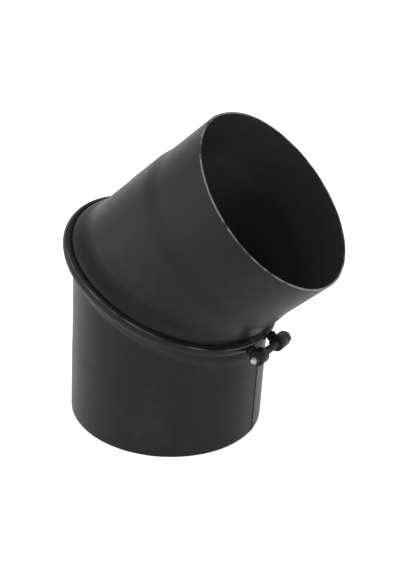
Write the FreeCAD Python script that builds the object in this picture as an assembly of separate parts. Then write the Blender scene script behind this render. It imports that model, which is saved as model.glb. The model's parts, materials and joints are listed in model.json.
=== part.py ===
import FreeCAD, Part
import math
import os

# Adjustable single-joint flue elbow for stove pipe, in millimetres, +Z up.
# The lower tube stands on the origin and runs up +Z to the joint centre. The joint
# plane is tilted by half of the full bend, so the upper shell, turned about the joint
# axis, swings its tube from the full bend towards +X round to straight up.

# Lower tube
socket_bore_radius = 75.5       # inside of the socket, for a 150 mm pipe
lower_wall = 1.5
socket_depth = 52.0
socket_swell = 0.25             # the socket is sized out over the rest of the tube
socket_step = 12.0              # length of the step above the socket
lower_plain_length = 4.3        # straight tube between the step and the forming, at the throat

# Upper tube
upper_outer_radius = 75.0       # before its reduced end
upper_wall = 1.5
upper_plain_length = 2.6        # straight tube between the forming and the swage, at the throat
swage_length = 16.0             # the step between the upper tube and the spigot
spigot_outer_radius = 73.5      # the reduced end, which enters the next pipe
spigot_length = 43.0

# Joint: each shell is formed round and then turned out into a flange
full_bend = 45.0                # degrees between the two tubes
rounding_length = 14.0          # over which the oblique tube becomes round
drift_length = 9.0              # over which the tube runs onto the joint axis
forming_steps = 8
collar_straight = 0.5           # round collar between the forming and the flange's bend
flange_bend_radius = 1.2        # inside radius between collar and flange
flange_width = 4.1              # the flange's edge beyond the collar
gasket_thickness = 1.0
gasket_inset = 0.6              # the gasket's edge inside the flange's edge
turning_gap = 0.05              # between the gasket and the shell that turns on it

# Clamp band: a rolled channel over both flanges
band_sheet = 1.0
band_side_clearance = 0.3       # to each side of the pair of flanges
band_edge_clearance = 0.5       # over the flanges' edge
band_grip = 2.2                 # the band's legs reach this far in from the flanges' edge
band_leg_lean = 0.5             # the legs stand wider at their feet
band_crown = 0.8                # the band's middle over its shoulders
band_gap = 18.4                 # opening between the band's ends
clamp_turn = -5.5               # degrees that the clamp is turned away from the throat

# Clamp sleeves, bolt and washer
bolt_radius = 2.95              # M6
plain_bore_clearance = 0.3
thread_clearance = 0.05
sleeve_radius = 6.0
sleeve_length = 10.0
sleeve_stand_off = 1.8          # the sleeves over the band's crown, filled by weld
sleeve_end_inset = 0.9          # the sleeves start this far behind the band's ends
weld_width = 6.0
weld_inset = 0.6                # the weld stops short of each sleeve's faces
washer_radius = 6.0
washer_thickness = 1.6
washer_clearance = 0.25
head_across_flats = 10.0
head_height = 4.0
head_chamfer = 0.5
seat_gap = 0.05                 # between washer, head and sleeve, which turn on each other
bolt_tip = 4.9                  # the bolt's end beyond the threaded sleeve
bolt_tip_chamfer = 0.8

# Worked out from the sizes above
tilt = math.radians(full_bend / 2.0)
socket_outer_radius = socket_bore_radius + lower_wall
lower_bore_radius = socket_bore_radius - socket_swell
lower_outer_radius = lower_bore_radius + lower_wall
oblique_radius = max(lower_outer_radius, upper_outer_radius)
collar_radius = oblique_radius / math.cos(tilt)
flange_radius = collar_radius + flange_width
lower_flange_face = gasket_thickness / 2.0
upper_flange_face = gasket_thickness / 2.0 + turning_gap
flange_back = max(lower_flange_face + lower_wall, upper_flange_face + upper_wall)
collar_height = flange_back + flange_bend_radius + collar_straight
forming_top = collar_height + max(rounding_length, drift_length)
neck_start = socket_depth + socket_step
lower_throat = forming_top / math.cos(tilt) + lower_outer_radius * math.tan(tilt)
upper_throat = forming_top / math.cos(tilt) + upper_outer_radius * math.tan(tilt)
lower_length = neck_start + lower_plain_length + lower_throat
swage_start = upper_throat + upper_plain_length
spigot_start = swage_start + swage_length
upper_length = spigot_start + spigot_length
band_inner_radius = flange_radius + band_edge_clearance
band_outer_radius = band_inner_radius + band_sheet
band_shoulder_radius = band_outer_radius - band_crown
band_half_inside = flange_back + band_side_clearance
band_half_outside = band_half_inside + band_sheet
bolt_distance = band_outer_radius + sleeve_stand_off + sleeve_radius
sleeve_inner_face = band_gap / 2.0 + sleeve_end_inset
sleeve_outer_face = sleeve_inner_face + sleeve_length
washer_face = sleeve_outer_face + seat_gap
head_face = washer_face + washer_thickness + seat_gap

ACROSS = FreeCAD.Vector(0, 1, 0)
UP = FreeCAD.Vector(0, 0, 1)
JOINT = FreeCAD.Vector(0, 0, lower_length)
JOINT_AXIS = FreeCAD.Vector(math.sin(tilt), 0, math.cos(tilt))
THROAT = FreeCAD.Vector(math.cos(tilt), 0, -math.sin(tilt))
SAME_PLACE = 0.001              # two faces nearer than this lie in one plane
AXIS_MARGIN = 0.000001          # an ellipse's short axis stays this much the shorter
REACH = 4.0 * (lower_length + upper_length)  # beyond everything on each side


def joint_point(outward, along, across=0.0):
    """Point placed from the joint centre: towards the throat, along its axis, across."""
    return JOINT + THROAT * outward + JOINT_AXIS * along + ACROSS * across


def line(start, end):
    return Part.makeLine(joint_point(*start), joint_point(*end))


def arc(start, middle, end):
    return Part.Arc(joint_point(*start), joint_point(*middle), joint_point(*end)).toShape()


def revolve(edges):
    """Solid of revolution about the joint axis from a closed outline of edges."""
    face = Part.Face(Part.Wire(edges))
    return face.revolve(JOINT, JOINT_AXIS, 360)


def outline(corners):
    """Closed outline of straight edges through (outward, along) corners."""
    return [line(start, end) for start, end in zip(corners, corners[1:] + corners[:1])]


def smooth_step(share):
    share = min(max(share, 0.0), 1.0)
    return share * share * (3.0 - 2.0 * share)


def joint_side(height, side):
    """Everything further from the joint plane than the given height, on one side."""
    block = Part.makeBox(REACH, REACH, REACH, FreeCAD.Vector(-REACH / 2, -REACH / 2, 0))
    turn = FreeCAD.Rotation(UP, JOINT_AXIS * side)
    block.Placement = FreeCAD.Placement(joint_point(0, side * height), turn)
    return block


def oblique_section(tube_radius, round_radius, height, side):
    """Outline of the formed tube in a plane parallel to the joint plane."""
    rounded = smooth_step((forming_top - height) / rounding_length)
    drifted = smooth_step((collar_height + drift_length - height) / drift_length)
    long_start = tube_radius / math.cos(tilt)
    long_radius = long_start + (round_radius - long_start) * rounded
    short_radius = tube_radius + (round_radius - tube_radius) * rounded
    centre = joint_point(height * math.tan(tilt) * (1.0 - drifted), side * height)
    long_end = centre + THROAT * long_radius
    short_end = centre + ACROSS * min(short_radius, long_radius - AXIS_MARGIN)
    return Part.Wire(Part.Ellipse(long_end, short_end, centre).toShape())


def forming(tube_radius, round_radius, side):
    """Skin between the plain tube and the round collar."""
    span = forming_top - collar_height
    heights = [collar_height + span * step / forming_steps for step in range(forming_steps + 1)]
    sections = [oblique_section(tube_radius, round_radius, height, side) for height in heights]
    return Part.makeLoft(sections, False, False)


def bend_line(radius, face, wall, side):
    """Quarter turn from the collar out into the flange, and its two ends."""
    centre_out = collar_radius + flange_bend_radius
    centre_along = face + wall + flange_bend_radius
    start = (centre_out - radius, side * centre_along)
    end = (centre_out, side * (centre_along - radius))
    slant = radius * math.sqrt(0.5)
    middle = (centre_out - slant, side * (centre_along - slant))
    return start, arc(start, middle, end), end


def collar(wall, face, side):
    """Skin of the round collar turned out into the flange, open at its top."""
    outer_start, outer_bend, outer_end = bend_line(flange_bend_radius, face, wall, side)
    inner_start, inner_bend, inner_end = bend_line(flange_bend_radius + wall, face, wall, side)
    outer_top = (collar_radius, side * collar_height)
    inner_top = (collar_radius - wall, side * collar_height)
    rim_back = (flange_radius, side * (face + wall))
    rim_face = (flange_radius, side * face)
    profile = Part.Wire([
        line(outer_top, outer_start),
        outer_bend,
        line(outer_end, rim_back),
        line(rim_back, rim_face),
        line(rim_face, inner_end),
        inner_bend,
        line(inner_start, inner_top),
    ])
    return profile.revolve(JOINT, JOINT_AXIS, 360)


def sheet(tube, bore, outer_radius, wall, face, side):
    """One solid of sheet: tube, formed length, collar and flange, joined skin to skin."""
    beyond = joint_side(forming_top, side)
    cut_face = joint_point(0, side * forming_top)
    skins = []
    for skin in tube.cut(bore).common(beyond).Faces:
        if abs((skin.CenterOfMass - cut_face).dot(JOINT_AXIS)) > SAME_PLACE:
            skins.append(skin)
    skins.extend(forming(outer_radius, collar_radius, side).Faces)
    skins.extend(forming(outer_radius - wall, collar_radius - wall, side).Faces)
    skins.extend(collar(wall, face, side).Faces)
    shell = Part.makeShell(skins)
    shell.sewShape()
    return Part.makeSolid(shell)


def lower_tube(socket_radius, neck_radius):
    """Filled tube with its sized socket, from the rim to above the joint plane."""
    step = UP * socket_depth
    neck = UP * neck_start
    return Part.makeCylinder(socket_radius, socket_depth).fuse([
        Part.makeCone(socket_radius, neck_radius, socket_step, step),
        Part.makeCylinder(neck_radius, lower_length, neck),
    ])


def lower_shell():
    """Lower tube, its formed collar and its flange."""
    tube = lower_tube(socket_outer_radius, lower_outer_radius)
    bore = lower_tube(socket_bore_radius, lower_bore_radius)
    return sheet(tube, bore, lower_outer_radius, lower_wall, lower_flange_face, -1)


def upper_tube(main_radius, end_radius):
    """Filled tube with its reduced end, from below the joint plane to the mouth."""
    below = upper_outer_radius
    tube = Part.makeCylinder(main_radius, below + swage_start, UP * -below).fuse([
        Part.makeCone(main_radius, end_radius, swage_length, UP * swage_start),
        Part.makeCylinder(end_radius, spigot_length, UP * spigot_start),
    ])
    tube.Placement = FreeCAD.Placement(JOINT, FreeCAD.Rotation(ACROSS, full_bend))
    return tube


def upper_shell():
    """Upper tube with its reduced end, its formed collar and its flange."""
    tube = upper_tube(upper_outer_radius, spigot_outer_radius)
    bore = upper_tube(upper_outer_radius - upper_wall, spigot_outer_radius - upper_wall)
    return sheet(tube, bore, upper_outer_radius, upper_wall, upper_flange_face, 1)


def joint_gasket():
    """Flat sealing ring between the flanges."""
    inner = collar_radius + flange_bend_radius
    outer = flange_radius - gasket_inset
    half = gasket_thickness / 2.0
    return revolve(outline([(inner, -half), (outer, -half), (outer, half), (inner, half)]))


def band_back():
    """Outer line of the band's channel, from one shoulder over the crown to the other."""
    upper_shoulder = (band_shoulder_radius, band_half_outside)
    lower_shoulder = (band_shoulder_radius, -band_half_outside)
    return arc(upper_shoulder, (band_outer_radius, 0), lower_shoulder)


def band_profile():
    """Outline of the rolled channel: crowned back and two leaning legs."""
    foot = flange_radius - band_grip
    shoulder = band_shoulder_radius
    inner_shoulder = band_inner_radius - band_edge_clearance / 2.0
    inside = band_half_inside
    outside = band_half_outside
    lean = band_leg_lean
    return [
        line((foot, outside + lean), (shoulder, outside)),
        band_back(),
        line((shoulder, -outside), (foot, -outside - lean)),
        line((foot, -outside - lean), (foot, -inside - lean)),
        line((foot, -inside - lean), (inner_shoulder, -inside)),
        arc((inner_shoulder, -inside), (band_inner_radius, 0), (inner_shoulder, inside)),
        line((inner_shoulder, inside), (foot, inside + lean)),
        line((foot, inside + lean), (foot, outside + lean)),
    ]


def filled_band():
    """Everything inside the band's back."""
    top = (0.0, band_half_outside)
    bottom = (0.0, -band_half_outside)
    return revolve([
        line(top, (band_shoulder_radius, band_half_outside)),
        band_back(),
        line((band_shoulder_radius, -band_half_outside), bottom),
        line(bottom, top),
    ])


def throat_block(start, across, length, width, height):
    """Block at the throat, square to the joint plane and centred on it."""
    block = Part.makeBox(length, width, height)
    corner = joint_point(start, -height / 2.0, across)
    block.Placement = FreeCAD.Placement(corner, FreeCAD.Rotation(ACROSS, full_bend / 2.0))
    return block


def clamp_band():
    """Split channel that holds the flanges together, open at the throat."""
    gap = throat_block(0.0, -band_gap / 2.0, 2.0 * flange_radius, band_gap, flange_radius)
    return revolve(band_profile()).cut(gap)


def bolt_cylinder(radius, start, end):
    """Cylinder on the bolt's axis between two places across the elbow."""
    return Part.makeCylinder(radius, end - start, joint_point(bolt_distance, 0, start), ACROSS)


def bolt_cone(start_radius, end_radius, start, end):
    """Cone on the bolt's axis between two places across the elbow."""
    base = joint_point(bolt_distance, 0, start)
    return Part.makeCone(start_radius, end_radius, end - start, base, ACROSS)


def sleeve(start, hole_radius):
    """Short thick tube on the bolt's axis."""
    outside = bolt_cylinder(sleeve_radius, start, start + sleeve_length)
    return outside.cut(bolt_cylinder(hole_radius, start, start + sleeve_length))


def plain_sleeve():
    """Sleeve on the bolt head's side, which the bolt passes through freely."""
    return sleeve(sleeve_inner_face, bolt_radius + plain_bore_clearance)


def threaded_sleeve():
    """Sleeve on the side of the bolt's end, which holds the bolt's thread."""
    return sleeve(-sleeve_outer_face, bolt_radius + thread_clearance)


def sleeve_welds():
    """Weld that fills the space between each sleeve and the band's back."""
    start = band_inner_radius - sleeve_length
    length = sleeve_length - 2.0 * weld_inset
    keep_clear = filled_band().fuse(
        bolt_cylinder(sleeve_radius, -sleeve_outer_face, sleeve_outer_face)
    )
    welds = []
    for place in (sleeve_inner_face + weld_inset, weld_inset - sleeve_outer_face):
        block = throat_block(start, place, bolt_distance - start, length, weld_width)
        welds.extend(block.cut(keep_clear).Solids)
    return Part.makeCompound(welds)


def clamp_bolt():
    """Hexagon bolt from the plain sleeve through to beyond the threaded one."""
    tip = -sleeve_outer_face - bolt_tip
    tip_shoulder = tip + bolt_tip_chamfer
    head_end = head_face + head_height
    corner_radius = head_across_flats / 2.0 / math.cos(math.radians(30))
    corners = []
    for turn in range(0, 360, 60):
        outward = bolt_distance + corner_radius * math.cos(math.radians(turn))
        along = corner_radius * math.sin(math.radians(turn))
        corners.append(joint_point(outward, along, head_face))
    hexagon = Part.Face(Part.makePolygon(corners + corners[:1]))
    chamfer_start = head_end - head_chamfer
    rounded = bolt_cylinder(corner_radius, head_face, chamfer_start).fuse(
        bolt_cone(corner_radius, corner_radius - head_chamfer, chamfer_start, head_end)
    )
    head = hexagon.extrude(ACROSS * head_height).common(rounded)
    return head.fuse([
        bolt_cylinder(bolt_radius, tip_shoulder, head_face),
        bolt_cone(bolt_radius - bolt_tip_chamfer, bolt_radius, tip, tip_shoulder),
    ])


def bolt_washer():
    """Flat washer between the bolt's head and the plain sleeve."""
    outside = bolt_cylinder(washer_radius, washer_face, washer_face + washer_thickness)
    hole = bolt_radius + washer_clearance
    return outside.cut(bolt_cylinder(hole, washer_face, washer_face + washer_thickness))


NODES = {
    "lower_shell": lower_shell,
    "upper_shell": upper_shell,
    "joint_gasket": joint_gasket,
}
CLAMP_NODES = {
    "clamp_band": clamp_band,
    "plain_sleeve": plain_sleeve,
    "threaded_sleeve": threaded_sleeve,
    "sleeve_welds": sleeve_welds,
    "clamp_bolt": clamp_bolt,
    "bolt_washer": bolt_washer,
}

os.makedirs("parts", exist_ok=True)
shapes = {name: make() for name, make in NODES.items()}
for name, make in CLAMP_NODES.items():
    shapes[name] = make().rotate(JOINT, JOINT_AXIS, clamp_turn)
for name, shape in shapes.items():
    shape.exportStep("parts/" + name + ".step")
    print(name, "solids", len(shape.Solids), "valid", shape.isValid(), "volume", round(shape.Volume))
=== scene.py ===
import json
import math

import bmesh
import bpy
from bpy.props import FloatProperty, FloatVectorProperty, IntProperty, PointerProperty
from mathutils import Matrix, Vector, noise


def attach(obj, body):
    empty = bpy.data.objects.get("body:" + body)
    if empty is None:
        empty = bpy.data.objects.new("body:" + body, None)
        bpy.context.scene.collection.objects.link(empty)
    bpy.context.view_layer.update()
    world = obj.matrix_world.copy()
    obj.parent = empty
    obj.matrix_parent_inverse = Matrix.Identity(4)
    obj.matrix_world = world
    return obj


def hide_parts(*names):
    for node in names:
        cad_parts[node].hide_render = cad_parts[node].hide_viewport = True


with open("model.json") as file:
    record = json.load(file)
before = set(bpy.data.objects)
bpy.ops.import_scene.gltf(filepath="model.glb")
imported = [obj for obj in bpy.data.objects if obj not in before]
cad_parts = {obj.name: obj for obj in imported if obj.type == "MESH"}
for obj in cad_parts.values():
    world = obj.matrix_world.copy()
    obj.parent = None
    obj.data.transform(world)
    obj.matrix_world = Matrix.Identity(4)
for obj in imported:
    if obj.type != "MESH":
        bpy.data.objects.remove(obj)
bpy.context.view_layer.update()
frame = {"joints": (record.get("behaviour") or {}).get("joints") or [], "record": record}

bl_info = {
    "name": "Flue elbow",
    "version": (1, 0, 0),
    "blender": (4, 5, 0),
    "location": "3D View > Sidebar > Flue elbow",
    "description": "Adjustable stove pipe elbow with its clamp, on a pale studio floor",
    "category": "Object",
}

MM = 0.001
TURN = 2.0 * math.pi
SKIN_ROOM = 0.02 * MM  # kept free under the solids' outermost faces
JOINTS = {joint["name"]: joint for joint in frame["joints"]}
MOUNTS = {mount["name"]: mount for mount in frame["record"]["mounts"]}
UP = Vector((0, 0, 1))
ACROSS = Vector((0, 1, 0))
CLAMP_ACROSS = Vector(JOINTS["bolt_turn"]["axis"]).normalized()
JOINT = Vector(JOINTS["elbow_turn"]["pos_m"])
JOINT_AXIS = Vector(JOINTS["elbow_turn"]["axis"]).normalized()
THROAT = ACROSS.cross(JOINT_AXIS)
CLAMP_OUT = CLAMP_ACROSS.cross(JOINT_AXIS)
CLAMP_TURN = math.atan2(CLAMP_OUT.dot(ACROSS), CLAMP_OUT.dot(THROAT))
BOLT = Vector(JOINTS["bolt_turn"]["pos_m"])
TILT = JOINT_AXIS.angle(UP)
UPPER_AXIS = Vector(MOUNTS["spigot"]["axis"]).normalized()
MOUTH = Vector(MOUNTS["spigot"]["pos_m"]) + UPPER_AXIS * (
    MOUNTS["spigot"]["dims"]["length_mm"] * MM / 2.0
)
SOCKET_RADIUS = MOUNTS["socket"]["dims"]["r_mm"] * MM
SOCKET_DEPTH = MOUNTS["socket"]["dims"]["length_mm"] * MM
SPIGOT_RADIUS = MOUNTS["spigot"]["dims"]["r_mm"] * MM


def length(name, description, default):
    return FloatProperty(name=name, description=description, default=default, unit="LENGTH")


def colour(name, description, default):
    return FloatVectorProperty(
        name=name, description=description, default=default, subtype="COLOR", min=0.0, max=1.0
    )


def share(name, description, default):
    return FloatProperty(
        name=name, description=description, default=default, subtype="FACTOR", min=0.0, max=1.0
    )


class ElbowSizes(bpy.types.PropertyGroup):
    """Sizes of the sheet metal and of the clamp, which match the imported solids"""

    wall: length("Sheet", "Thickness of both shells", 1.5 * MM)
    upper_radius: length("Upper tube radius", "Outside, under the reduced end", 75.0 * MM)
    socket_swell: length("Socket swell", "How far the socket is sized out", 0.25 * MM)
    socket_step: length("Socket step", "Length of the step above the socket", 12.0 * MM)
    spigot_length: length("Spigot length", "Length of the reduced end", 43.0 * MM)
    swage: length("Swage", "Length of the step down to the spigot", 16.0 * MM)
    collar_height: length("Collar", "From the joint plane to the top of the collar", 3.75 * MM)
    rounding: length("Rounding", "Length over which the tube becomes round", 14.0 * MM)
    drift: length("Drift", "Length over which the tube runs onto the joint axis", 9.0 * MM)
    flange_width: length("Flange", "How far the flange stands out", 4.1 * MM)
    flange_bend: length("Flange bend", "Inside radius under the flange", 1.2 * MM)
    gasket: length("Gasket", "Thickness of the sealing ring", 1.0 * MM)
    turning_gap: length("Turning gap", "Between parts that turn on each other", 0.05 * MM)
    gasket_inset: length("Gasket inset", "Gasket edge inside the flange edge", 0.6 * MM)
    rim_round: length("Rim round", "Rounding of each sheet edge", 0.45 * MM)
    waviness: length("Waviness", "Unevenness of the rolled sheet", 0.22 * MM)
    wave_pace: FloatProperty(
        name="Wave pace", description="Waves in a metre of tube", default=9.0, min=0.0
    )
    seam_peak: length("Seam peak", "How far the sheet stands proud at its seam", 0.3 * MM)
    seam_width: length("Seam width", "Width of the weld along each tube", 2.4 * MM)
    seam_height: length("Seam height", "Rise of the weld over the sheet", 0.45 * MM)
    band_sheet: length("Band sheet", "Thickness of the clamp band", 1.0 * MM)
    band_clearance: length("Band clearance", "Band over the flanges' edge", 0.5 * MM)
    band_side: length("Band side", "Band beside the flanges", 0.3 * MM)
    band_grip: length("Band grip", "How far the band's legs reach in", 2.2 * MM)
    band_lean: length("Band lean", "How far the legs lean out at their feet", 0.5 * MM)
    band_crown: length("Band crown", "Rise of the band's middle", 0.8 * MM)
    band_gap: length("Band gap", "Opening between the band's ends", 18.4 * MM)
    sleeve_radius: length("Sleeve radius", "Outside of both sleeves", 6.0 * MM)
    sleeve_length: length("Sleeve length", "Length of both sleeves", 10.0 * MM)
    sleeve_stand_off: length("Sleeve stand-off", "Sleeves over the band's crown", 1.8 * MM)
    sleeve_inset: length("Sleeve inset", "Sleeve behind the band's end", 0.9 * MM)
    weld_width: length("Weld width", "Weld under each sleeve, along the joint axis", 6.4 * MM)
    weld_inset: length("Weld inset", "Weld short of each sleeve's faces", 0.6 * MM)
    bolt_radius: length("Bolt radius", "Outside of the thread", 2.95 * MM)
    plain_clearance: length("Plain bore clearance", "Bolt in the plain sleeve", 0.3 * MM)
    thread_clearance: length("Thread clearance", "Bolt in the threaded sleeve", 0.05 * MM)
    thread_pitch: length("Thread pitch", "Advance of the thread in one turn", 1.0 * MM)
    bolt_tip: length("Bolt tip", "Bolt end beyond the sleeve", 4.9 * MM)
    washer: length("Washer", "Thickness of the washer", 1.6 * MM)
    washer_clearance: length("Washer clearance", "Bolt in the washer", 0.25 * MM)
    seat_gap: length("Seat gap", "Between washer, head and sleeve", 0.05 * MM)
    head_flats: length("Head", "Hexagon head across its flats", 10.0 * MM)
    head_height: length("Head height", "Height of the hexagon head", 4.0 * MM)


class ElbowColours(bpy.types.PropertyGroup):
    """Colours and gloss of the elbow's finishes"""

    paint: colour("Paint", "Heat-resistant black paint", (0.0092, 0.0092, 0.0094))
    # The inside colour is painted light: lighter than the outer paint, to brighten the shaded
    # inside of the tubes.
    inside: colour("Inside", "Paint inside the tubes, thinner and duller", (0.026, 0.026, 0.026))
    dust: colour("Dust", "Pale haze that handling leaves", (0.075, 0.073, 0.07))
    steel: colour("Bare steel", "Sheet edge where the paint is rubbed off", (0.42, 0.41, 0.4))
    zinc: colour("Zinc", "Plating on the bolt", (0.38, 0.38, 0.37))
    seal: colour("Seal", "Woven glass-fibre ring", (0.1, 0.097, 0.09))
    gloss: share("Roughness", "Roughness of the paint", 0.4)


class StageSettings(bpy.types.PropertyGroup):
    """Camera, light and floor"""

    azimuth: FloatProperty(
        name="Azimuth",
        description="Camera's turn round the elbow",
        default=math.radians(26.89),
        subtype="ANGLE",
    )
    elevation: FloatProperty(
        name="Elevation",
        description="Camera above the horizon",
        default=math.radians(26.22),
        subtype="ANGLE",
    )
    roll: FloatProperty(
        name="Roll",
        description="Camera's turn about its own line of sight",
        default=math.radians(3.04),
        subtype="ANGLE",
    )
    distance: length("Distance", "Camera to the joint's centre", 0.884)
    aim_right: length("Aim right", "View centre to the right of the joint", 26.2 * MM)
    aim_down: length("Aim down", "View centre below the joint", 12.85 * MM)
    lens: FloatProperty(name="Lens", description="Focal length, mm", default=71.8, min=10.0)
    sky: FloatProperty(name="Sky", description="Strength of the light all round", default=0.95)
    floor: colour("Floor", "Pale studio floor", (0.9, 0.9, 0.9))
    floor_glow: FloatProperty(name="Floor glow", description="Light from the floor", default=0.62)
    softbox_power: FloatProperty(
        name="Softbox power", description="Light on the heel's side, watts", default=9.0, min=0.0
    )
    softbox_size: length("Softbox size", "Side of the square light", 1.5)
    softbox_place: FloatVectorProperty(
        name="Softbox place",
        description="Centre of the light from the joint's centre",
        default=(-1.0, -0.75, 0.3),
        subtype="TRANSLATION",
        unit="LENGTH",
    )


class Elbow(bpy.types.PropertyGroup):
    """Everything about the elbow and its stage that a user would change"""

    sizes: PointerProperty(type=ElbowSizes)
    colours: PointerProperty(type=ElbowColours)
    stage: PointerProperty(type=StageSettings)
    segments: IntProperty(name="Segments", description="Faces round a tube", default=320, min=48)


class Wire:
    """A shader socket that arithmetic can be written with."""

    def __init__(self, finish, socket):
        self.finish = finish
        self.socket = socket

    def __add__(self, other):
        return self.finish.maths("ADD", self, other)

    def __radd__(self, other):
        return self.finish.maths("ADD", other, self)

    def __sub__(self, other):
        return self.finish.maths("SUBTRACT", self, other)

    def __rsub__(self, other):
        return self.finish.maths("SUBTRACT", other, self)

    def __mul__(self, other):
        return self.finish.maths("MULTIPLY", self, other)

    def __rmul__(self, other):
        return self.finish.maths("MULTIPLY", other, self)


class Finish:
    """A node material while it is written."""

    def __init__(self, name):
        self.material = bpy.data.materials.new(name)
        self.material.use_nodes = True
        self.tree = self.material.node_tree
        self.tree.nodes.clear()
        self.place = self.add("ShaderNodeTexCoord", output="Object")

    def add(self, kind, settings=None, inputs=None, output=0):
        """Adds a node, sets it up, fills or links its sockets and gives one output."""
        made = self.tree.nodes.new(kind)
        for name, value in (settings or {}).items():
            setattr(made, name, value)
        for name, value in (inputs or {}).items():
            if isinstance(value, Wire):
                self.tree.links.new(value.socket, made.inputs[name])
            else:
                made.inputs[name].default_value = value
        return None if output is None else Wire(self, made.outputs[output])

    def maths(self, operation, first, second=0.0):
        inputs = {0: first, 1: second}
        return self.add("ShaderNodeMath", {"operation": operation}, inputs)

    def mix(self, factor, first, second):
        """Colour between two colours."""
        colours = {0: factor, 6: first, 7: second}
        return self.add("ShaderNodeMix", {"data_type": "RGBA"}, colours, output=2)

    def ramp(self, value, low, high):
        """0 at low, 1 at high, smooth between them."""
        inputs = {"Value": value, "From Min": low, "From Max": high}
        return self.add("ShaderNodeMapRange", {"interpolation_type": "SMOOTHSTEP"}, inputs)

    def noise(self, feature, detail=2.0, stretch=(1, 1, 1), turn=(0, 0, 0), roughness=0.5):
        """Noise of the given feature size in metres, about 0.5."""
        place = self.add(
            "ShaderNodeMapping",
            inputs={"Vector": self.place, "Rotation": turn, "Scale": stretch},
        )
        inputs = {
            "Vector": place,
            "Scale": 1.0 / feature,
            "Detail": detail,
            "Roughness": roughness,
        }
        return self.add("ShaderNodeTexNoise", inputs=inputs)

    def along(self, point, axis):
        """Distance of the surface from a point, measured along an axis."""
        offset = self.add(
            "ShaderNodeVectorMath",
            {"operation": "SUBTRACT"},
            {0: self.place, 1: tuple(point)},
        )
        inputs = {0: offset, 1: tuple(axis)}
        settings = {"operation": "DOT_PRODUCT"}
        return self.add("ShaderNodeVectorMath", settings, inputs, output="Value")

    def facing_out(self, point, axis):
        """Distance from a tube's axis, negative where the surface faces the axis."""
        normal = self.add("ShaderNodeTexCoord", output="Normal")
        offset = self.add(
            "ShaderNodeVectorMath",
            {"operation": "SUBTRACT"},
            {0: self.place, 1: tuple(point)},
        )
        dot = {"operation": "DOT_PRODUCT"}
        outward = self.add("ShaderNodeVectorMath", dot, {0: normal, 1: offset}, output="Value")
        lengthwise = self.add(
            "ShaderNodeVectorMath", dot, {0: normal, 1: tuple(axis)}, output="Value"
        )
        return outward - lengthwise * self.along(point, axis)

    def bump(self, height, distance, strength=1.0, normal=None):
        inputs = {"Height": height, "Distance": distance, "Strength": strength}
        if normal is not None:
            inputs["Normal"] = normal
        return self.add("ShaderNodeBump", inputs=inputs)

    def close(self, inputs):
        """Ends in the surface shader and gives the material."""
        shader = self.add("ShaderNodeBsdfPrincipled", inputs=inputs)
        self.add("ShaderNodeOutputMaterial", inputs={"Surface": shader}, output=None)
        return self.material


def paint_coat(finish, turn, wear_and_painted_highlight, inside=0.0):
    """Satin heat-resistant paint; gives the shader's inputs, with bare steel where worn and along
    painted highlights, and the lighter inside colour, painted light, where the inside mask is set.
    """
    colours = bpy.context.scene.flue_elbow.colours
    cloud = finish.noise(60 * MM, 3.0, turn=turn)
    mottle = finish.noise(9 * MM, 4.0, roughness=0.6)
    peel = finish.noise(0.9 * MM, 2.0)
    grit = finish.noise(0.25 * MM, 1.0)
    brushed = finish.noise(14 * MM, 3.0, stretch=(1, 1, 26), turn=turn)
    haze = finish.ramp(cloud * 0.6 + mottle * 0.4, 0.46, 0.72)
    specks = finish.ramp(finish.noise(2.6 * MM, 3.0, roughness=0.7), 0.7, 0.78)
    # Painted light: the inside mask swaps the paint for the lighter inside colour.
    coat = finish.mix(inside, tuple(colours.paint) + (1,), tuple(colours.inside) + (1,))
    painted = finish.mix(haze * 0.1 + specks * 0.18, coat, tuple(colours.dust) + (1,))
    roughness = colours.gloss + (cloud - 0.5) * 0.12 + (mottle - 0.5) * 0.1 + (grit - 0.5) * 0.08
    height = peel * 0.55 + grit * 0.25 + brushed * 0.2
    return {
        "Base Color": finish.mix(wear_and_painted_highlight, painted, tuple(colours.steel) + (1,)),
        "Metallic": wear_and_painted_highlight * 0.9,
        "Roughness": roughness - wear_and_painted_highlight * 0.06,
        "Specular IOR Level": 0.13,
        "Normal": finish.bump(height, 0.05 * MM, 0.35),
    }


def rubbed_edge(finish, point, axis, reach):
    """Mask of the bare line that handling leaves along a cut edge."""
    ragged = (finish.noise(3.5 * MM, 3.0) - 0.5) * (1.1 * MM)
    patchy = finish.ramp(finish.noise(16 * MM, 3.0), 0.36, 0.56)
    depth = finish.along(point, axis) + ragged
    return finish.ramp(depth, -reach, -reach * 0.3) * (patchy * 0.42 + 0.04)


def shell_paint(name, rim, outward, radius):
    """Paint of a shell, rubbed through along its open rim, with painted light inside the tube: a
    lighter colour over its shaded inner skin.
    """
    finish = Finish(name)
    bare_steel_mask = rubbed_edge(finish, rim, outward, 0.7 * MM)
    turn = UP.rotation_difference(outward).to_euler()
    # Mask of the inner skin, where the lighter inside colour is painted light in the tube's shade.
    inside = 1.0 - finish.ramp(finish.facing_out(rim, outward), -0.4 * radius, -0.1 * radius)
    return finish.close(paint_coat(finish, tuple(turn), bare_steel_mask, inside))


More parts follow.
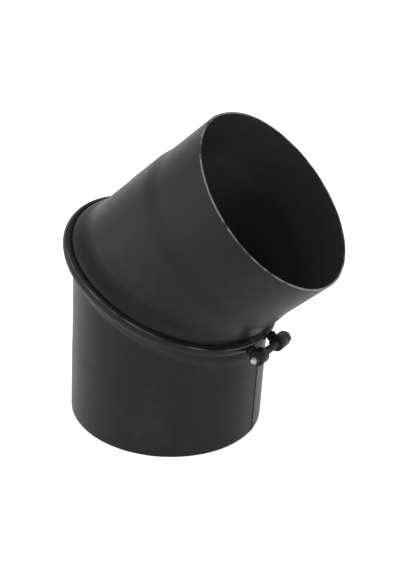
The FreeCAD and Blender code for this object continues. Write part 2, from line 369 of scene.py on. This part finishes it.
def small_part_paint(name, wear_amount, shoulder=None):
    """Paint of the clamp's parts, thinner on their edges, and bare along the band's shoulders in a
    thin line that is partly rubbed paint and partly a painted highlight.
    """
    finish = Finish(name)
    edge = finish.add("ShaderNodeNewGeometry", output="Pointiness")
    scuffs = finish.ramp(finish.noise(5 * MM, 4.0, roughness=0.65), 0.45, 0.7)
    bare_steel_mask = finish.ramp(edge, 0.54, 0.66) * scuffs * wear_amount
    if shoulder is not None:
        # Painted highlight: a thin patchy line of bare steel along each shoulder of the band,
        # partly rubbed paint, partly standing in for the bright line of light the shoulder
        # catches.
        height = finish.maths("ABSOLUTE", finish.along(JOINT, JOINT_AXIS))
        line = finish.maths("ABSOLUTE", height - shoulder)
        patchy = finish.ramp(finish.noise(24 * MM, 3.0), 0.42, 0.62)
        bare_steel_mask = bare_steel_mask + (1.0 - finish.ramp(line, 0.12 * MM, 0.4 * MM)) * patchy * 0.22
    return finish.close(paint_coat(finish, (0, 0, 0), bare_steel_mask))


def zinc(name):
    """Zinc plating with faint spangle, painted over between the sleeves."""
    colours = bpy.context.scene.flue_elbow.colours
    sizes = bpy.context.scene.flue_elbow.sizes
    finish = Finish(name)
    spangle = finish.noise(1.1 * MM, 3.0, roughness=0.6)
    tarnish = finish.ramp(finish.noise(3.5 * MM, 4.0), 0.42, 0.7)
    plated = finish.mix(tarnish * 0.35, tuple(colours.zinc) + (1,), (0.3, 0.29, 0.27, 1))
    across = finish.along(BOLT, CLAMP_ACROSS)
    inner = sizes.band_gap / 2.0 + sizes.sleeve_inset + sizes.sleeve_length
    tip = inner + sizes.bolt_tip
    painted = finish.ramp(across, -tip + 0.9 * MM, -tip + 1.5 * MM)
    return finish.close({
        "Base Color": finish.mix(painted, plated, tuple(colours.paint) + (1,)),
        "Metallic": 1.0 - painted,
        "Roughness": 0.3 + spangle * 0.16 + painted * 0.12,
        "Normal": finish.bump(spangle, 0.03 * MM, 0.5),
    })


def woven_seal(name):
    """Dark woven glass fibre."""
    colours = bpy.context.scene.flue_elbow.colours
    finish = Finish(name)
    strands = finish.noise(0.7 * MM, 3.0)
    weave = finish.noise(1.5 * MM, 1.0, stretch=(1, 3, 1))
    soot = finish.ramp(finish.noise(12 * MM, 3.0), 0.35, 0.7)
    return finish.close({
        "Base Color": finish.mix(soot * 0.6, tuple(colours.seal) + (1,), (0.02, 0.02, 0.02, 1)),
        "Roughness": 0.82 + strands * 0.14,
        "Normal": finish.bump(strands * 0.4 + weave * 0.6, 0.25 * MM, 0.8),
    })


def smooth_step(value):
    value = min(max(value, 0.0), 1.0)
    return value * value * (3.0 - 2.0 * value)


def joint_point(outward, along, across=0.0):
    """Point placed from the joint's centre: towards the throat, along its axis, across."""
    return JOINT + THROAT * outward + JOINT_AXIS * along + ACROSS * across


def clamp_point(outward, along, across=0.0):
    """Point placed from the joint's centre: towards the bolt, along the axis, across."""
    return JOINT + CLAMP_OUT * outward + JOINT_AXIS * along + CLAMP_ACROSS * across


def ring(centre, long_axis, short_axis):
    """Affine matrix that turns the unit circle into an ellipse at a place."""
    normal = long_axis.cross(short_axis).normalized()
    matrix = Matrix((long_axis, short_axis, normal)).transposed().to_4x4()
    matrix.translation = centre
    return matrix


def straight_ring(radius, centre, axis):
    """Circle square to a tube's upward axis."""
    return ring(centre, ACROSS.cross(axis) * radius, ACROSS * radius)


def between(first, second, mix):
    """Ring part way from one to another."""
    return Matrix([[a + (b - a) * mix for a, b in zip(r, s)] for r, s in zip(first, second)])


def loft(bm, rings, segments, closed=True):
    """Skin through rings, by extruding the first circle and carrying it from ring to ring."""
    made = bmesh.ops.create_circle(bm, segments=segments, radius=1.0, matrix=rings[0])
    verts = made["verts"]
    edges = list({edge for vert in verts for edge in vert.link_edges})
    last = rings[0]
    for now in rings[1:]:
        grown = bmesh.ops.extrude_edge_only(bm, edges=edges)["geom"]
        verts = [item for item in grown if isinstance(item, bmesh.types.BMVert)]
        edges = [
            item
            for item in grown
            if isinstance(item, bmesh.types.BMEdge) and all(v in set(verts) for v in item.verts)
        ]
        bmesh.ops.transform(bm, matrix=now @ last.inverted(), verts=verts)
        last = now
    if closed:
        bmesh.ops.remove_doubles(bm, verts=bm.verts, dist=0.001 * MM)
    bmesh.ops.recalc_face_normals(bm, faces=bm.faces)


def join(bm, other):
    """Adds one mesh under construction to another."""
    mesh = bpy.data.meshes.new("joined")
    other.to_mesh(mesh)
    other.free()
    bm.from_mesh(mesh)
    bpy.data.meshes.remove(mesh)


def finish_piece(name, bm, body, material, nodes=(), sharp_degrees=40.0):
    """Makes the object, shades it smooth with sharp corners and hands it to the frame."""
    mesh = bpy.data.meshes.new(name)
    bm.to_mesh(mesh)
    bm.free()
    mesh.shade_smooth()
    mesh.set_sharp_from_angle(angle=math.radians(sharp_degrees))
    mesh.materials.append(material)
    piece = bpy.data.objects.new(name, mesh)
    bpy.context.scene.collection.objects.link(piece)
    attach(piece, body)
    if nodes:
        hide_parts(*nodes)
    return piece


def neck_radius(sizes):
    """Outside of the lower tube above its socket."""
    return SOCKET_RADIUS - sizes.socket_swell + sizes.wall


def collar_radius(sizes):
    """Outside of the round collar that the oblique tube is formed into."""
    return max(neck_radius(sizes), sizes.upper_radius) / math.cos(TILT)


class ShellShape:
    """Rings of one shell, out along its outer skin and back along its inner one."""

    def __init__(self, side, axis, tube_radius, end_radius, rim_place, step_start, step):
        self.sizes = bpy.context.scene.flue_elbow.sizes
        self.side = side
        self.axis = axis
        self.tube_radius = tube_radius
        self.end_radius = end_radius
        self.rim_place = rim_place
        self.step_start = step_start
        self.step = step
        self.collar = collar_radius(self.sizes)
        self.flange = self.collar + self.sizes.flange_width
        self.forming_top = self.sizes.collar_height + max(self.sizes.rounding, self.sizes.drift)
        self.face = self.sizes.gasket / 2.0 + (self.sizes.turning_gap if side > 0 else 0.0)

    def square_ring(self, radius, place):
        """Ring square to the tube at a distance from the joint's centre."""
        return straight_ring(radius, JOINT + self.axis * self.side * place, self.axis)

    def tube_ring(self, place, inset):
        """Ring square to the tube, whose radius changes along the step."""
        changed = smooth_step((place - self.step_start) / self.step)
        radius = self.tube_radius + (self.end_radius - self.tube_radius) * changed
        return self.square_ring(radius - inset, place)

    def forming_ring(self, height, inset):
        """Ring parallel to the joint plane, on its way from the tube to the collar."""
        sizes = self.sizes
        rounded = smooth_step((self.forming_top - height) / sizes.rounding)
        drifted = smooth_step((sizes.collar_height + sizes.drift - height) / sizes.drift)
        long_start = (self.tube_radius - inset) / math.cos(TILT)
        long_radius = long_start + (self.collar - inset - long_start) * rounded
        short_start = self.tube_radius - inset
        short_radius = short_start + (self.collar - inset - short_start) * rounded
        centre = joint_point(height * math.tan(TILT) * (1.0 - drifted), self.side * height)
        return ring(centre, THROAT * long_radius, ACROSS * short_radius)

    def round_ring(self, radius, height):
        """Ring about the joint axis."""
        return ring(joint_point(0, self.side * height), THROAT * radius, ACROSS * radius)

    def skin(self, inset):
        """Rings from the rim to the collar's foot along one skin."""
        sizes = self.sizes
        rings = []
        start = self.rim_place - sizes.rim_round
        step_end = self.step_start + self.step
        end_steps = 12
        for step in range(end_steps):
            rings.append(self.tube_ring(start + (step_end - start) * step / end_steps, inset))
        for step in range(end_steps):
            rings.append(self.tube_ring(step_end - self.step * step / end_steps, inset))
        square_ring = self.tube_ring(self.step_start, inset)
        oblique_ring = self.forming_ring(self.forming_top, inset)
        tube_steps = 16
        for step in range(tube_steps):
            rings.append(between(square_ring, oblique_ring, step / tube_steps))
        forming_steps = 20
        for step in range(forming_steps + 1):
            drop = (self.forming_top - sizes.collar_height) * step / forming_steps
            rings.append(self.forming_ring(self.forming_top - drop, inset))
        return rings

    def bend(self, radius):
        """Rings of the bend between collar and flange, from the collar outwards."""
        sizes = self.sizes
        centre_out = self.collar + sizes.flange_bend
        centre_up = self.face + sizes.wall + sizes.flange_bend
        steps = 8
        rings = []
        for step in range(steps + 1):
            angle = math.radians(90) * step / steps
            out = centre_out - radius * math.cos(angle)
            rings.append(self.round_ring(out, centre_up - radius * math.sin(angle)))
        return rings

    def edge(self, inner_ring_at, steps=5):
        """Rounded corner: rings from one flat to the other, given by a function of angle."""
        return [inner_ring_at(math.radians(90) * step / steps) for step in range(steps + 1)]

    def rings(self):
        """Closed run of rings round the whole sheet."""
        sizes = self.sizes
        rounding = sizes.rim_round
        wall = sizes.wall
        face = self.face
        flange_in = self.flange - rounding

        def back_corner(angle):
            out = flange_in + rounding * math.sin(angle)
            return self.round_ring(out, face + wall - rounding + rounding * math.cos(angle))

        def face_corner(angle):
            out = flange_in + rounding * math.cos(angle)
            return self.round_ring(out, face + rounding - rounding * math.sin(angle))

        def outer_rim(angle):
            inset = rounding - rounding * math.cos(angle)
            place = self.rim_place - rounding + rounding * math.sin(angle)
            return self.square_ring(self.end_radius - inset, place)

        def inner_rim(angle):
            inset = wall - rounding + rounding * math.sin(angle)
            place = self.rim_place - rounding + rounding * math.cos(angle)
            return self.square_ring(self.end_radius - inset, place)

        outer = self.skin(0.0) + self.bend(sizes.flange_bend)
        inner = self.skin(wall) + self.bend(sizes.flange_bend + wall)
        flange_edge = self.edge(back_corner) + self.edge(face_corner)
        rim_edge = self.edge(inner_rim)[::-1] + self.edge(outer_rim)[::-1]
        return outer + flange_edge + inner[::-1] + rim_edge

    def outward(self, angle):
        """Direction square to the tube, turned from the side that faces the throat."""
        return ACROSS.cross(self.axis) * math.cos(angle) + ACROSS * math.sin(angle)

    def roll(self, bm, seam_angle):
        """Gives the sheet the slight unevenness and the peak at its seam of a rolled tube."""
        sizes = self.sizes
        peak_reach = math.radians(9.0)
        for vert in bm.verts:
            offset = vert.co - JOINT
            radial = offset - self.axis * offset.dot(self.axis)
            height = abs(offset.dot(JOINT_AXIS))
            angle = math.atan2(radial.dot(ACROSS), radial.dot(self.outward(0.0)))
            from_seam = abs((angle - seam_angle + math.pi) % TURN - math.pi)
            fade = smooth_step((height - sizes.collar_height) / sizes.rounding)
            along = self.axis * offset.dot(self.axis) * sizes.wave_pace
            wave = noise.noise(Vector((math.cos(angle), math.sin(angle), 0)) * 1.7 + along)
            peak = max(0.0, 1.0 - from_seam / peak_reach) ** 2
            push = (wave - 0.5) * sizes.waviness + (peak - 1.0) * sizes.seam_peak
            vert.co += radial.normalized() * push * fade

    def seam(self, seam_angle, seam_end):
        """Low rippled weld bead along the tube, sunk in the sheet."""
        sizes = self.sizes
        out = self.outward(seam_angle)
        width_way = self.axis.cross(out)
        start = self.rim_place - sizes.rim_round * 2.0
        steps = 180
        rings = []
        for step in range(steps + 1):
            place = start + (seam_end - start) * step / steps
            changed = smooth_step((place - self.step_start) / self.step)
            radius = self.tube_radius + (self.end_radius - self.tube_radius) * changed
            radius -= sizes.wall * 0.5
            ripple = 1.0 + 0.1 * noise.noise(Vector((0, seam_angle, place / (1.5 * MM))))
            wander = sizes.seam_width * 0.15 * noise.noise(Vector((place / (9 * MM), 0, 5)))
            centre = JOINT + self.axis * self.side * place + out * radius + width_way * wander
            rise = (sizes.wall * 0.5 + sizes.seam_height - sizes.waviness) * ripple
            rings.append(ring(centre, width_way * sizes.seam_width * 0.5 * ripple, out * rise))
        bead = bmesh.new()
        loft(bead, rings, 20, closed=False)
        bmesh.ops.holes_fill(bead, edges=[edge for edge in bead.edges if edge.is_boundary])
        bmesh.ops.recalc_face_normals(bead, faces=bead.faces)
        return bead


def make_shell(name, shape, body, node, material, seam_angle, seam_end):
    """Sheet of one shell with the weld along its tube."""
    segments = bpy.context.scene.flue_elbow.segments
    bm = bmesh.new()
    rings = shape.rings()
    loft(bm, rings + rings[:1], segments)
    shape.roll(bm, seam_angle)
    join(bm, shape.seam(seam_angle, seam_end))
    return finish_piece(name, bm, body, material, [node])


class FLUE_OT_lower_shell(bpy.types.Operator):
    """Lower tube with its collar, flange and the weld along it"""

    bl_idname = "flue.lower_shell"
    bl_label = "Lower shell"

    def execute(self, context):
        sizes = context.scene.flue_elbow.sizes
        neck = neck_radius(sizes)
        step_start = JOINT.z - SOCKET_DEPTH - sizes.socket_step
        shape = ShellShape(
            -1,
            UP,
            neck,
            SOCKET_RADIUS + sizes.wall,
            JOINT.z - SKIN_ROOM,
            step_start,
            sizes.socket_step,
        )
        throat = shape.forming_top / math.cos(TILT) + neck * math.tan(TILT)
        paint = shell_paint("lower_paint", Vector((0, 0, 0)), -UP, neck)
        make_shell("lower_shell_sheet", shape, "lower", "lower_shell", paint, 0.0, throat)
        return {"FINISHED"}


class FLUE_OT_upper_shell(bpy.types.Operator):
    """Upper tube with its reduced end, its collar and its flange"""

    bl_idname = "flue.upper_shell"
    bl_label = "Upper shell"

    def execute(self, context):
        sizes = context.scene.flue_elbow.sizes
        mouth_place = (MOUTH - JOINT).length
        step_start = mouth_place - sizes.spigot_length - sizes.swage
        shape = ShellShape(
            1, UPPER_AXIS, sizes.upper_radius, SPIGOT_RADIUS, mouth_place, step_start, sizes.swage
        )
        heel = shape.forming_top / math.cos(TILT)
        paint = shell_paint("upper_paint", MOUTH, UPPER_AXIS, SPIGOT_RADIUS)
        make_shell("upper_shell_sheet", shape, "upper", "upper_shell", paint, math.pi, heel)
        return {"FINISHED"}


def ring_of(bm, corners, start_angle=0.0, sweep=TURN, steps=320):
    """Turns an outline about the joint axis; a corner is (outward, along)."""
    turned = Matrix.Rotation(start_angle, 4, JOINT_AXIS)
    verts = [bm.verts.new(JOINT + turned @ (joint_point(*corner) - JOINT)) for corner in corners]
    edges = [bm.edges.new(pair) for pair in zip(verts, verts[1:] + verts[:1])]
    whole = abs(sweep - TURN) < 0.0001
    if not whole:
        bm.faces.new(verts)
    made = bmesh.ops.spin(
        bm,
        geom=verts + edges,
        cent=JOINT,
        axis=JOINT_AXIS,
        angle=sweep,
        steps=steps,
        use_merge=whole,
    )
    if not whole:
        last = [item for item in made["geom_last"] if isinstance(item, bmesh.types.BMEdge)]
        bmesh.ops.contextual_create(bm, geom=last)
    bmesh.ops.remove_doubles(bm, verts=bm.verts, dist=0.001 * MM)
    bmesh.ops.recalc_face_normals(bm, faces=bm.faces)


def band_half_width(sizes):
    """From the joint plane to the band's shoulder."""
    inside = sizes.gasket / 2.0 + sizes.turning_gap + sizes.wall + sizes.band_side
    return inside + sizes.band_sheet


def band_outline(sizes, flange):
    """Section of the rolled band: crowned back with rounded shoulders, and two legs."""
    outside = band_half_width(sizes)
    inside = outside - sizes.band_sheet
    back = flange + sizes.band_clearance + sizes.band_sheet - SKIN_ROOM
    shoulder = back - sizes.band_crown
    foot = flange - sizes.band_grip
    corner = 0.7 * MM
    lean = sizes.band_lean
    outer = []
    steps = 6
    for step in range(steps + 1):
        angle = math.radians(90) * step / steps
        out = shoulder - corner + corner * math.sin(angle)
        outer.append((out, outside - corner + corner * math.cos(angle)))
    crown_steps = 12
    top = outside - corner
    for step in range(1, crown_steps):
        place = top - 2 * top * step / crown_steps
        rise = sizes.band_crown * (1.0 - (place / top) ** 2)
        outer.append((shoulder + rise, place))
    for step in range(steps + 1):
        angle = math.radians(90) * (1.0 - step / steps)
        out = shoulder - corner + corner * math.sin(angle)
        outer.append((out, -(outside - corner + corner * math.cos(angle))))
    inner_edge = shoulder - sizes.band_sheet
    round_edge = 0.35 * MM
    below = [
        (foot + round_edge, -outside - lean),
        (foot, -outside - lean + round_edge),
        (foot, -inside - lean - round_edge),
        (foot + round_edge, -inside - lean),
        (inner_edge, -inside),
        (back - sizes.band_sheet, 0.0),
    ]
    above = [(out, -up) for out, up in below[-2::-1]]
    return outer + below + above


class FLUE_OT_clamp_band(bpy.types.Operator):
    """Split band rolled over both flanges"""

    bl_idname = "flue.clamp_band"
    bl_label = "Clamp band"

    def execute(self, context):
        sizes = context.scene.flue_elbow.sizes
        flange = collar_radius(sizes) + sizes.flange_width
        half_gap = math.asin(sizes.band_gap / 2.0 / flange)
        bm = bmesh.new()
        start = CLAMP_TURN + half_gap
        ring_of(bm, band_outline(sizes, flange), start, TURN - 2.0 * half_gap)
        # Its shoulders get a thin bare line that is partly a painted highlight.
        paint = small_part_paint("band_paint", 0.8, band_half_width(sizes) - 0.25 * MM)
        finish_piece("clamp_band_channel", bm, "clamp", paint, ["clamp_band"])
        return {"FINISHED"}


def bolt_point(radius, place):
    """Point placed from the bolt's centre: out from its axis, and along it."""
    return BOLT + CLAMP_OUT * radius + CLAMP_ACROSS * place


def lathe(bm, corners, steps=64):
    """Turns an outline about the bolt's axis; a corner is (radius, along)."""
    verts = [bm.verts.new(bolt_point(*corner)) for corner in corners]
    edges = [bm.edges.new(pair) for pair in zip(verts, verts[1:])]
    bmesh.ops.spin(
        bm,
        geom=verts + edges,
        cent=BOLT,
        axis=CLAMP_ACROSS,
        angle=TURN,
        steps=steps,
        use_merge=True,
    )
    bmesh.ops.remove_doubles(bm, verts=bm.verts, dist=0.001 * MM)
    bmesh.ops.recalc_face_normals(bm, faces=bm.faces)


def tube_outline(inner, outer, start, end, corner):
    """Closed outline of a short tube with chamfered edges."""
    return [
        (inner, start + corner),
        (inner + corner, start),
        (outer - corner, start),
        (outer - corner * 0.3, start + corner * 0.3),
        (outer, start + corner),
        (outer, end - corner),
        (outer - corner * 0.3, end - corner * 0.3),
        (outer - corner, end),
        (inner + corner, end),
        (inner, end - corner),
        (inner, start + corner),
    ]


class FLUE_OT_sleeves(bpy.types.Operator):
    """Two sleeves that the bolt passes through, and the weld under them"""

    bl_idname = "flue.sleeves"
    bl_label = "Sleeves"

    def execute(self, context):
        sizes = context.scene.flue_elbow.sizes
        start = sizes.band_gap / 2.0 + sizes.sleeve_inset
        end = start + sizes.sleeve_length
        paint = small_part_paint("sleeve_paint", 0.5)
        edge = 0.5 * MM
        for name, low, high, hole in (
            ("plain_sleeve", start, end, sizes.bolt_radius + sizes.plain_clearance),
            ("threaded_sleeve", -end, -start, sizes.bolt_radius + sizes.thread_clearance),
        ):
            bm = bmesh.new()
            lathe(bm, tube_outline(hole, sizes.sleeve_radius, low, high, edge))
            finish_piece(name + "_barrel", bm, "clamp", paint, [name], 30.0)
        bm = bmesh.new()
        for centre in (-(start + end) / 2.0, (start + end) / 2.0):
            self.add_weld(bm, sizes, centre)
        finish_piece("sleeve_weld_beads", bm, "clamp", paint, ["sleeve_welds"])
        return {"FINISHED"}

    def add_weld(self, bm, sizes, centre):
        """Lumpy bead between a sleeve and the band's back."""
        reach = sizes.sleeve_length / 2.0 - sizes.weld_inset
        distance = (BOLT - JOINT).dot(CLAMP_OUT)
        crown = distance - sizes.sleeve_radius - sizes.sleeve_stand_off
        sunk_in_band = 0.7 * MM
        sunk_in_sleeve = 1.0 * MM
        rings = []
        steps = 28
        for step in range(steps + 1):
            place = -1.0 + 2.0 * step / steps
            across = centre + reach * place
            low = math.sqrt(crown ** 2 - across ** 2) - sunk_in_band
            high = distance - sizes.sleeve_radius + sunk_in_sleeve
            ripple = 1.0 + 0.05 * math.sin(step * 2.1) + 0.04 * math.sin(step * 3.7 + centre * 900)
            taper = max(0.05, 1.0 - place ** 6) * ripple
            middle = clamp_point((low + high) / 2.0, 0.0, across)
            half_height = CLAMP_OUT * (high - low) / 2.0 * taper
            half_width = JOINT_AXIS * sizes.weld_width / 2.0 * taper
            rings.append(ring(middle, half_height, half_width))
        made = bmesh.new()
        loft(made, rings, 24, closed=False)
        bmesh.ops.holes_fill(made, edges=[edge for edge in made.edges if edge.is_boundary])
        bmesh.ops.recalc_face_normals(made, faces=made.faces)
        join(bm, made)


class FLUE_OT_bolt(bpy.types.Operator):
    """Hexagon bolt with its thread, and the washer under its head"""

    bl_idname = "flue.bolt"
    bl_label = "Bolt and washer"

    def execute(self, context):
        sizes = context.scene.flue_elbow.sizes
        sleeve_end = sizes.band_gap / 2.0 + sizes.sleeve_inset + sizes.sleeve_length
        washer_start = sleeve_end + sizes.seat_gap
        head_start = washer_start + sizes.washer + sizes.seat_gap
        metal = zinc("bolt_zinc")
        bm = bmesh.new()
        self.add_shank(bm, sizes, -sleeve_end - sizes.bolt_tip, head_start)
        self.add_thread(bm, sizes, -sleeve_end - sizes.bolt_tip, head_start)
        self.add_head(bm, sizes, head_start)
        finish_piece("clamp_bolt_body", bm, "bolt", metal, ["clamp_bolt"], 28.0)
        bm = bmesh.new()
        hole = sizes.bolt_radius + sizes.washer_clearance
        end = washer_start + sizes.washer
        edge = 0.25 * MM
        lathe(bm, tube_outline(hole, sizes.sleeve_radius, washer_start, end, edge))
        paint = small_part_paint("washer_paint", 0.7)
        finish_piece("bolt_washer_ring", bm, "washer", paint, ["bolt_washer"], 30.0)
        return {"FINISHED"}

    def add_shank(self, bm, sizes, tip, head_start):
        """Core of the bolt with its chamfered end."""
        core = sizes.bolt_radius - 0.5 * MM
        chamfer = 0.55 * MM
        chamfer_length = 0.7 * MM
        sunk_in_head = 0.2 * MM
        lathe(bm, [
            (0.0, tip),
            (core - chamfer, tip),
            (core, tip + chamfer_length),
            (core, head_start + sunk_in_head),
            (0.0, head_start + sunk_in_head),
        ], 48)

    def add_thread(self, bm, sizes, tip, head_start):
        """Closed ridge that climbs the core."""
        pitch = sizes.thread_pitch
        core = sizes.bolt_radius - 0.6 * MM
        crest = sizes.bolt_radius
        start = tip + 0.6 * MM
        turns = int((head_start - start) / pitch) - 1
        per_turn = 32
        corners = [
            (core, start - pitch * 0.44),
            (crest, start - pitch * 0.07),
            (crest, start + pitch * 0.07),
            (core, start + pitch * 0.44),
        ]
        verts = [bm.verts.new(bolt_point(*corner)) for corner in corners]
        edges = [bm.edges.new(pair) for pair in zip(verts, verts[1:] + verts[:1])]
        bm.faces.new(verts)
        made = bmesh.ops.spin(
            bm,
            geom=verts + edges,
            cent=BOLT,
            axis=CLAMP_ACROSS,
            dvec=CLAMP_ACROSS * pitch / per_turn,
            angle=TURN * turns,
            steps=per_turn * turns,
            use_merge=False,
        )
        last = [item for item in made["geom_last"] if isinstance(item, bmesh.types.BMEdge)]
        bmesh.ops.contextual_create(bm, geom=last)
        bmesh.ops.recalc_face_normals(bm, faces=bm.faces)

    def add_head(self, bm, sizes, start):
        """Round blank with a chamfer, milled to six flats."""
        corner = sizes.head_flats / 2.0 / math.cos(math.radians(30))
        end = start + sizes.head_height
        blank = bmesh.new()
        lathe(blank, [
            (0.0, start),
            (sizes.head_flats / 2.0 - 0.3 * MM, start),
            (sizes.head_flats / 2.0 - 0.3 * MM, start + 0.25 * MM),
            (corner, start + 0.25 * MM),
            (corner, end - 0.75 * MM),
            (sizes.head_flats / 2.0 - 0.2 * MM, end),
            (0.0, end),
        ], 96)
        for flat in range(6):
            turn = Matrix.Rotation(TURN * flat / 6.0, 4, CLAMP_ACROSS)
            outward = turn @ CLAMP_OUT
            cut = bmesh.ops.bisect_plane(
                blank,
                geom=list(blank.verts) + list(blank.edges) + list(blank.faces),
                dist=0.0001 * MM,
                plane_co=BOLT + outward * sizes.head_flats / 2.0,
                plane_no=outward,
                clear_outer=True,
            )
            rim = [item for item in cut["geom_cut"] if isinstance(item, bmesh.types.BMEdge)]
            bmesh.ops.contextual_create(blank, geom=rim)
        bmesh.ops.recalc_face_normals(blank, faces=blank.faces)
        join(bm, blank)


class FLUE_OT_gasket(bpy.types.Operator):
    """Woven sealing ring between the flanges"""

    bl_idname = "flue.gasket"
    bl_label = "Gasket"

    def execute(self, context):
        sizes = context.scene.flue_elbow.sizes
        inner = collar_radius(sizes) + sizes.flange_bend
        outer = collar_radius(sizes) + sizes.flange_width - sizes.gasket_inset
        half = sizes.gasket / 2.0
        edge = 0.25 * MM
        bm = bmesh.new()
        ring_of(bm, [
            (inner, -half + edge),
            (inner + edge, -half),
            (outer - edge, -half),
            (outer, -half + edge),
            (outer, half - edge),
            (outer - edge, half),
            (inner + edge, half),
            (inner, half - edge),
        ], steps=240)
        seal = woven_seal("gasket_weave")
        finish_piece("joint_gasket_weave", bm, "lower", seal, ["joint_gasket"])
        return {"FINISHED"}


class FLUE_OT_stage(bpy.types.Operator):
    """Pale floor, soft light all round and the camera"""

    bl_idname = "flue.stage"
    bl_label = "Stage"

    def execute(self, context):
        settings = context.scene.flue_elbow.stage
        self.add_floor(settings)
        self.add_light(context, settings)
        self.add_camera(context, settings)
        context.scene.view_settings.view_transform = "Standard"
        return {"FINISHED"}

    def add_floor(self, settings):
        bm = bmesh.new()
        floor_radius = 6.0
        bmesh.ops.create_circle(bm, cap_ends=True, segments=96, radius=floor_radius)
        mesh = bpy.data.meshes.new("studio_floor")
        bm.to_mesh(mesh)
        bm.free()
        floor = bpy.data.objects.new("studio_floor", mesh)
        bpy.context.scene.collection.objects.link(floor)
        finish = Finish("floor_white")
        tone = tuple(settings.floor) + (1,)
        mesh.materials.append(finish.close({
            "Base Color": tone,
            "Roughness": 0.9,
            "Specular IOR Level": 0.1,
            "Emission Color": tone,
            "Emission Strength": settings.floor_glow,
        }))

    def add_light(self, context, settings):
        world = bpy.data.worlds.new("studio")
        world.use_nodes = True
        background = world.node_tree.nodes["Background"]
        background.inputs["Color"].default_value = (1, 1, 1, 1)
        background.inputs["Strength"].default_value = settings.sky
        context.scene.world = world
        softbox = bpy.data.lights.new("softbox", "AREA")
        softbox.energy = settings.softbox_power
        softbox.size = settings.softbox_size
        place = Vector(settings.softbox_place)
        lamp = bpy.data.objects.new("softbox", softbox)
        lamp.matrix_world = Matrix.LocRotScale(
            JOINT + place, (-place).to_track_quat("-Z", "Y"), None
        )
        context.scene.collection.objects.link(lamp)

    def add_camera(self, context, settings):
        azimuth, elevation = settings.azimuth, settings.elevation
        back = Vector((
            math.sin(azimuth) * math.cos(elevation),
            -math.cos(azimuth) * math.cos(elevation),
            math.sin(elevation),
        ))
        right = Vector((math.cos(azimuth), math.sin(azimuth), 0))
        rise = back.cross(right)
        turned_right = right * math.cos(settings.roll) + rise * math.sin(settings.roll)
        turned_up = back.cross(turned_right)
        place = JOINT + back * settings.distance
        aim = JOINT + turned_right * settings.aim_right - turned_up * settings.aim_down
        line = (place - aim).normalized()
        level = turned_up.cross(line).normalized()
        matrix = Matrix((level, line.cross(level), line)).transposed().to_4x4()
        matrix.translation = place
        camera = bpy.data.objects.new("camera", bpy.data.cameras.new("camera"))
        camera.data.lens = settings.lens
        camera.matrix_world = matrix
        context.scene.collection.objects.link(camera)
        context.scene.camera = camera


class FLUE_PT_elbow(bpy.types.Panel):
    """Every step of the elbow in the sidebar"""

    bl_label = "Flue elbow"
    bl_idname = "FLUE_PT_elbow"
    bl_space_type = "VIEW_3D"
    bl_region_type = "UI"
    bl_category = "Flue elbow"

    def draw(self, context):
        for operator in OPERATORS:
            self.layout.operator(operator.bl_idname)
        self.layout.prop(context.scene.flue_elbow, "segments")
        for group in (context.scene.flue_elbow.sizes, context.scene.flue_elbow.colours):
            for name in group.__annotations__:
                self.layout.prop(group, name)


OPERATORS = (
    FLUE_OT_lower_shell,
    FLUE_OT_upper_shell,
    FLUE_OT_clamp_band,
    FLUE_OT_sleeves,
    FLUE_OT_bolt,
    FLUE_OT_gasket,
    FLUE_OT_stage,
)
GROUPS = (ElbowSizes, ElbowColours, StageSettings, Elbow)


def register():
    for item in GROUPS + OPERATORS + (FLUE_PT_elbow,):
        bpy.utils.register_class(item)
    bpy.types.Scene.flue_elbow = PointerProperty(type=Elbow)


def unregister():
    del bpy.types.Scene.flue_elbow
    for item in reversed(GROUPS + OPERATORS + (FLUE_PT_elbow,)):
        bpy.utils.unregister_class(item)


def main():
    register()
    bpy.ops.flue.lower_shell()
    bpy.ops.flue.upper_shell()
    bpy.ops.flue.clamp_band()
    bpy.ops.flue.sleeves()
    bpy.ops.flue.bolt()
    bpy.ops.flue.gasket()
    bpy.ops.flue.stage()


if __name__ == "__main__":
    main()
